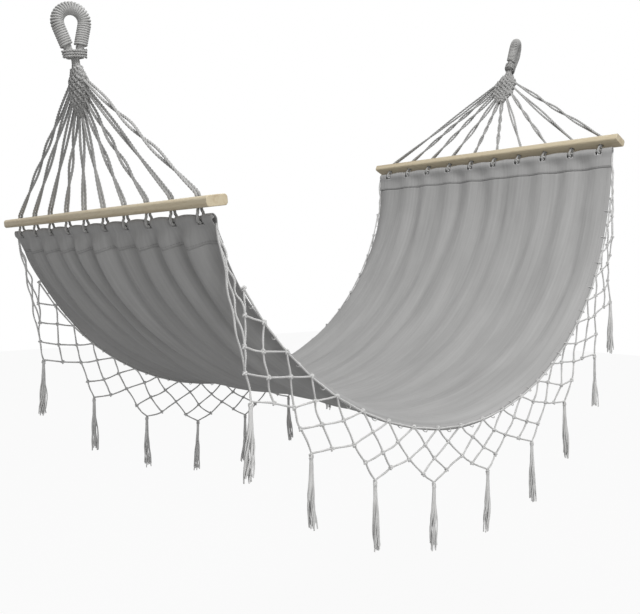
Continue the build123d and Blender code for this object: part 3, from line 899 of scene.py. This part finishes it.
# %% The bed
def sheet_object(name, rows, uvs, thickness, skip=None):
    """A sheet from rows of points, with metre UVs and a real thickness."""
    wide = len(rows[0])
    faces, corners = [], []
    for r in range(len(rows) - 1):
        for c in range(wide - 1):
            if skip and skip(r, c):
                continue
            faces.append((r * wide + c, r * wide + c + 1, (r + 1) * wide + c + 1, (r + 1) * wide + c))
            corners += [uvs[r][c], uvs[r][c + 1], uvs[r + 1][c + 1], uvs[r + 1][c]]
    mesh = bpy.data.meshes.new(name)
    mesh.from_pydata([tuple(p) for row in rows for p in row], [], faces)
    layer = mesh.uv_layers.new(name="metres")
    for loop, corner in zip(layer.data, corners):
        loop.uv = corner
    mesh.polygons.foreach_set("use_smooth", [True] * len(faces))
    mesh.materials.append(canvas)
    made = bpy.data.objects.new(name, mesh)
    scene.collection.objects.link(made)
    wall = made.modifiers.new("canvas_thickness", "SOLIDIFY")
    wall.thickness = thickness
    wall.offset = 0.0
    bpy.context.view_layer.update()
    solid = bpy.data.meshes.new_from_object(made.evaluated_get(bpy.context.evaluated_depsgraph_get()))
    made.modifiers.clear()
    loose = made.data
    made.data = solid
    bpy.data.meshes.remove(loose)
    return made


bed_rows, bed_uvs = [], []
bed_columns, bed_lines = 176, 170
cloth_thickness, under_hem = 0.0016, 0.0045
overlap = under_hem / bed_length
for line in range(bed_lines + 1):
    along = -overlap + (1 + 2 * overlap) * line / bed_lines
    row, uv = [], []
    for column in range(bed_columns + 1):
        across = bed_half_width * (2 * column / bed_columns - 1)
        row.append(cloth_point(along, across))
        uv.append((along * bed_length, across))
    bed_rows.append(row)
    bed_uvs.append(uv)
bed = sheet_object("canvas_bed", [row[::-1] for row in bed_rows], [uv[::-1] for uv in bed_uvs],
                   cloth_thickness)
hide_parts("bed")
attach(bed, "hammock")
print(bed.name, len(bed.data.polygons), "faces")

# %% [markdown]
# At each end the cloth is turned over the hem rope and stitched down, which makes a tunnel. Slots in the
# tunnel let each doubled cord reach the rope, and the cloth puffs up a little between them. The strip below
# goes up one face, round the rope and down the other, and leaves out the faces of the slots.

# %% The hems
slot_half, slot_reach, hem_thickness = 0.0080, 0.013, 0.0011
tunnel_radius, tunnel_puff, tunnel_rise, edge_puff = 0.0046, 0.0026, 0.0008, 0.4
round_place, round_reach = 0.0050, 0.0048
flap_end, flap_off, flap_rise = 0.0055, 0.0011, 0.0032
flap_steps, round_steps = 9, 8


def hem_columns():
    """Distances across the cloth, with a column at both edges of every slot."""
    stops = [-bed_half_width]
    for place in hole_places:
        stops += [place - slot_half, place + slot_half]
    stops.append(bed_half_width)
    columns = []
    for index, (low, high) in enumerate(zip(stops, stops[1:])):
        pieces = 4 if index % 2 else 12
        columns += [(low + (high - low) * i / pieces, index % 2 == 1) for i in range(pieces)]
    return columns + [(bed_half_width, False)]


def hem_object(side):
    """The turned end of the cloth: up one face, round the rope and down the other."""
    end, run = ends[side], hem_runs[side]
    up = Vector((-run.z, 0, run.x)) * (1 if side == "near" else -1)
    centre = end.at(0, 0, -hem_drop)
    columns = hem_columns()
    rows, uvs, slot_rows = [], [], []
    flap = hem_depth - flap_end
    profile = [(hem_depth * (1 - i / flap_steps) + flap_end * (i / flap_steps), 1) for i in range(flap_steps)]
    profile += [(i / round_steps, 0) for i in range(round_steps + 1)]
    profile += [(flap_end + flap * i / flap_steps, -1) for i in range(1, flap_steps + 1)]
    for number, (value, face) in enumerate(profile):
        row, uv = [], []
        for across, _ in columns:
            bay = across / hole_pitch + (hole_count - 1) / 2
            puff = 0.5 - 0.5 * cos(2 * pi * bay) if abs(across) < hole_places[-1] else edge_puff
            if face:
                along_run = value
                off = face * (flap_off + flap_rise * smooth((0.02 - value) / 0.016))
            else:
                turn = pi * (value - 0.5)
                radius = tunnel_radius + tunnel_puff * puff * cos(turn)
                along_run = round_place - (radius + round_reach) * cos(turn)
                off = -(tunnel_radius + tunnel_rise * puff) * sin(turn)
            own_rope = max(along_run, 0)
            other_rope = bed_length + 2 * hem_depth - own_rope
            from_ropes = (own_rope, other_rope) if side == "near" else (other_rope, own_rope)
            lift = off + fold_lift(*from_ropes, across) * smooth(along_run / 0.03)
            hang = margin_drop(0.0, across)
            place = centre + run * along_run + up * (lift - hang)
            place.y = across
            row.append(place)
            uv.append((number * 0.005, across))
        rows.append(row)
        uvs.append(uv)
        slot_rows.append(face == 0 or value < slot_reach)

    def in_slot(r, c):
        return columns[c][1] and slot_rows[r] and slot_rows[r + 1]

    if side == "near":
        rows, uvs, slot_rows = rows[::-1], uvs[::-1], slot_rows[::-1]
    made = sheet_object(f"{side}_canvas_hem", rows, uvs, hem_thickness, in_slot)
    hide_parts(f"{side}_hem")
    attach(made, "hammock")
    print(made.name, len(made.data.polygons), "faces")
    return made


canvas_hems = [hem_object(side) for side in ends]

# %% [markdown]
# Stitches are hundreds of the same tiny shape, so one tree places them: it divides a line evenly and puts a
# small squashed ball on every point, turned along the line. The lines run along both hems, on both faces,
# and along the two long edges.

# %% Tree for stitches
def stitch_tree():
    """Tree for a row of stitches along each line."""
    recipe = Recipe("stitches", Spacing="Float", Long="Float", Wide="Float", Finish="Material")
    sockets = recipe.start.outputs
    even = recipe.evened(sockets["Spacing"])
    ball = recipe.add("GeometryNodeMeshUVSphere", Segments=6, Rings=4, Radius=0.5)
    tangent = recipe.add("GeometryNodeInputTangent").outputs[0]
    turned = recipe.add("FunctionNodeAlignRotationToVector", {"axis": "Z"}, Vector=tangent)
    size = recipe.add("ShaderNodeCombineXYZ", X=sockets["Wide"], Y=sockets["Wide"], Z=sockets["Long"])
    placed = recipe.add("GeometryNodeInstanceOnPoints", Points=even, Instance=ball.outputs["Mesh"],
                        Rotation=turned.outputs[0], Scale=size.outputs[0])
    return recipe.finish(placed.outputs[0], sockets["Finish"])


stitches = stitch_tree()
thread = cord_material("stitch_thread", (0.20, 0.198, 0.195), (0.27, 0.268, 0.262))
seam_lines = []
for face in (1, -1):
    for along in (-0.0030, 1.0030):
        seam_lines.append([
            cloth_point(along, bed_half_width * (2 * i / 400 - 1) * 0.995, face * 0.0022) for i in range(401)
        ])
    for across in (-bed_half_width + 0.010, bed_half_width - 0.010):
        seam_lines.append([cloth_point(i / 300, across, face * 0.0009) for i in range(301)])
seams = grown(path_object("seam_line", seam_lines), stitches, "canvas_stitches",
              Spacing=0.0052, Long=0.0036, Wide=0.0009, Finish=thread)
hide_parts("bed")
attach(seams, "hammock")
print(seams.name, len(seams.data.polygons), "faces")

# %% [markdown]
# The side nets hang from the cloth's edges. Each knot hangs from two knots above it, at the length of one
# strand, so the net's shape follows from its own weight. Small seeded offsets make it look hand knotted.

# %% Where the net's knots hang
net_ties, net_row_count, net_strand, net_inset = 22, 4, 0.045, 0.05
net_place = bed_half_width + 0.0018


def edge_point(along):
    """Place of the cloth's edge, seen from the side."""
    place, _ = bed_at(along, 0, -bed_droop(along) - 0.0005)
    return (place.x, place.z)


def hang(first, second):
    """Lowest place that two strands reach from two knots."""
    upper, lower = (second, first) if first[1] < second[1] else (first, second)
    below = (upper[0], upper[1] - net_strand)
    if hypot(below[0] - lower[0], below[1] - lower[1]) <= net_strand:
        return below
    span = hypot(second[0] - first[0], second[1] - first[1])
    sag = sqrt(max(net_strand**2 - (span / 2) ** 2, 0.0001))
    way = ((second[0] - first[0]) / span, (second[1] - first[1]) / span)
    return ((first[0] + second[0]) / 2 + way[1] * sag, (first[1] + second[1]) / 2 - way[0] * sag)


net_rows = [[edge_point(net_inset + (1 - 2 * net_inset) * i / (net_ties - 1)) for i in range(net_ties)]]
for _ in range(net_row_count):
    above = net_rows[-1]
    net_rows.append([hang(first, second) for first, second in zip(above, above[1:])])


def net_points(side, chance):
    """The knots in space, with a little looseness below the first row."""
    points = []
    for number, row in enumerate(net_rows):
        loose = 0.0 if number == 0 else 1.0
        points.append([
            Vector((
                x + loose * chance.uniform(-0.0035, 0.0035),
                side * (net_place * spread_out(x) + loose * chance.uniform(-0.004, 0.004)),
                z + loose * chance.uniform(-0.004, 0.004),
            ))
            for x, z in row
        ])
    return points


print("net knots", sum(len(row) for row in net_rows), "lowest", round(min(z for _, z in net_rows[-1]), 3))

# %% [markdown]
# Each strand is a thin laid cord from knot to knot, bowed by its slack. The knots are little three-lobed
# loops of yarn. A plainer fourth tree is enough for yarns, which are too thin to show their strands.

# %% The side nets
def yarn_tree():
    """Tree for a plain round yarn."""
    recipe = Recipe("yarn", Diameter="Float", Step="Float", Sides="Int", Finish="Material")
    sockets = recipe.start.outputs
    circle = recipe.circle(sockets["Sides"], recipe.math("MULTIPLY", sockets["Diameter"], 0.5))
    return recipe.finish(recipe.swept(recipe.evened(sockets["Step"]), circle), sockets["Finish"])


yarn = yarn_tree()


def strand_line(first, second, chance):
    """Points of one strand, with the bow that its slack gives it."""
    run = second - first
    slack = sqrt(max(net_strand**2 - run.length_squared, 0)) * 0.22
    bow = Vector((chance.uniform(-0.003, 0.003), chance.uniform(-0.003, 0.003), -slack * 0.4))
    sideways = Vector((chance.choice((-1, 1)) * slack * 0.6, 0, 0))
    return [
        first,
        first + run * 0.3 + (bow + sideways) * 0.8,
        first + run * 0.7 + (bow - sideways * 0.3) * 0.8,
        second,
    ]


def gathered_line(corner, knot, row, chance):
    """A slack cord from the corner of the hem down to the end of one row of knots."""
    run = knot - corner
    points = [corner]
    for step in range(1, 7):
        share = step / 7
        wave = 0.004 * (-1) ** step + chance.uniform(-0.002, 0.002)
        points.append(corner + run * share + Vector((wave, wave * 0.4 * (row - 2), -0.006 * sin(pi * share))))
    return points + [knot]


def small_knot(centre, size, chance):
    """A closed three-lobed loop for one knot."""
    lean = chance.uniform(0, 2 * pi)
    points = []
    for step in range(14):
        turn = 2 * pi * step / 13
        out = size * (0.55 + 0.45 * cos(3 * turn))
        points.append(centre + Vector((
            out * cos(2 * turn + lean), size * 0.7 * sin(3 * turn), out * sin(2 * turn + lean)
        )))
    return points


net_knot_size = 0.0044
gathers = ((0, -0.022, 3), (-1, 1.022, 2))


def net_object(name, side, points, chance):
    """The strands and the knots of one net, gathered to the corners of the hems."""
    lines = []
    for row, (above, below) in enumerate(zip(points, points[1:])):
        step = 2 if row == net_row_count - 1 else 1
        for index in range(0, len(below), step):
            lines.append(strand_line(above[index], below[index], chance))
            lines.append(strand_line(above[index + 1], below[index], chance))
    top = []
    for index in range(net_ties * 2 - 1):
        along = net_inset + (1 - 2 * net_inset) * index / (2 * (net_ties - 1))
        x, z = edge_point(along)
        top.append(Vector((x, side * net_place * spread_out(x), z - (0.0015 if index % 2 == 0 else 0.0))))
    lines.append(top)
    for last, along, far_row in gathers:
        corner = cloth_point(along, side * bed_half_width)
        for row in range(1, far_row + 1):
            lines.append(gathered_line(corner + Vector((0, side * 0.002, 0)), points[row][last], row, chance))
    net = grown(path_object("net_line", lines), twisted_cord, f"{name}_side_net", Diameter=0.0042, Strands=3,
                Lay=0.013, Step=0.0034, Sides=4, Finish=net_cord)
    tied = [small_knot(point, net_knot_size, chance) for row in points[:-1] for point in row]
    knots = grown(path_object("knot_line", tied), yarn, f"{name}_net_knots", Diameter=0.0030, Step=0.0022,
                  Sides=6, Finish=net_cord)
    for piece in (net, knots):
        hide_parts(f"{name}_net")
        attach(piece, "hammock")
    print(net.name, len(net.data.polygons), "faces,", len(tied), "knots")
    return [net, knots]


net_chance = random.Random(5)
net_sides = {"left": 1, "right": -1}
knots_of = {name: net_points(side, net_chance) for name, side in net_sides.items()}
net_pieces = []
for name, side in net_sides.items():
    net_pieces += net_object(name, side, knots_of[name], net_chance)

# %% [markdown]
# Short stitches of thin cord hold the net's top cord to the edge of the canvas. Each goes round both, midway
# between two knots.

# %% The edge ties
tie_inset, tie_wide, tie_deep = 0.0012, 0.0066, 0.0036


def tie_ring(along, side):
    """A small ring round the cloth's edge and the net's top cord."""
    edge = cloth_point(along, side * bed_half_width)
    _, up = bed_at(along, 0)
    slope = atan2(bed_droop(along), bed_half_width - hole_places[-1])
    out = Vector((0, side * cos(slope), 0)) - up * sin(slope)
    upward = up * cos(slope) + Vector((0, side * sin(slope), 0))
    ring = []
    for step in range(15):
        turn = 2 * pi * step / 13
        ring.append(edge + out * (tie_wide * cos(turn) - tie_inset) + upward * (tie_deep * sin(turn)))
    return ring


for name, side in net_sides.items():
    step = (1 - 2 * net_inset) / (net_ties - 1)
    rings = [tie_ring(net_inset + step * (i + 0.5), side) for i in range(net_ties - 1)]
    ties = grown(path_object("tie_line", rings), twisted_cord, f"{name}_edge_stitches", Diameter=0.0020,
                 Strands=3, Lay=0.007, Step=0.0016, Sides=4, Finish=net_cord)
    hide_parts(f"{name}_edge_ties")
    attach(ties, "hammock")
    print(ties.name, len(ties.data.polygons), "faces")

# %% [markdown]
# The tassels are bundles of loose yarn. They start tight under their knot and open as they go down, each
# yarn with its own curl and length. Near the bars the bundles are a little thicker.

# %% The tassels
tassel_length, tassel_top, yarn_count, yarn_steps = 0.122, 0.0055, 15, 11
bundle_radius, bundle_flare, yarn_wave = 0.0022, 0.0052, 0.0016
wrap_top, wrap_pitch, wrap_size, wrap_count = 0.0035, 0.002, 0.0042, 3


def tassel_lines(knot, chance, full):
    """The yarns of one tassel; full makes the bundle thicker."""
    lines = []
    count = round(yarn_count * full)
    sway = (chance.uniform(-0.006, 0.006), chance.uniform(-0.002, 0.002))
    for number in range(count):
        turn = 2 * pi * (number / count + chance.uniform(-0.04, 0.04))
        ring = chance.choice((0.45, 1.0))
        length = tassel_length * chance.uniform(0.86, 1.0)
        curl = chance.uniform(0, 2 * pi)
        points = []
        for step in range(yarn_steps + 1):
            share = step / yarn_steps
            radius = ring * (bundle_radius + bundle_flare * smooth(share * 1.1) * full)
            twist = turn + 2.2 * (1 - share)
            wave = yarn_wave * smooth((share - 0.2) / 0.4)
            points.append(knot + Vector((
                radius * cos(twist) + sway[0] * share * share + wave * sin(9 * share + curl),
                radius * sin(twist) * 0.8 + sway[1] * share * share + wave * cos(8 * share + curl) * 0.6,
                -tassel_top - length * share,
            )))
        lines.append(points)
    return lines


tassel_chance = random.Random(12)
for name in net_sides:
    low_row = knots_of[name][-1]
    for number, index in enumerate(range(0, len(low_row), 2), 1):
        knot = low_row[index]
        full = 1.0 + 0.18 * abs(number - 5) / 4
        yarns = grown(path_object("yarn_line", tassel_lines(knot, tassel_chance, full)), yarn,
                      f"{name}_tassel_yarns_{number}", Diameter=0.0025, Step=0.0040, Sides=5, Finish=net_cord)
        wraps = [
            small_knot(knot - Vector((0, 0, wrap_top + wrap_pitch * i)), wrap_size, tassel_chance)
            for i in range(wrap_count)
        ]
        bound = grown(path_object("bound_line", wraps), yarn, f"{name}_tassel_knot_{number}", Diameter=0.0026,
                      Step=0.0018, Sides=6, Finish=net_cord)
        for piece in (yarns, bound):
            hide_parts(f"{name}_tassel_{number}")
            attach(piece, "hammock")

# %% [markdown]
# The size that the cloth was cut to is printed: its width, and its length with both hems. Its hems,
# stitches, nets, ties and tassels hang on the same hammock body as the bed.

# %% The size the cloth was cut to
print("cloth cut to 0.80 m by", round(bed_length + 2 * hem_depth, 2), "m")
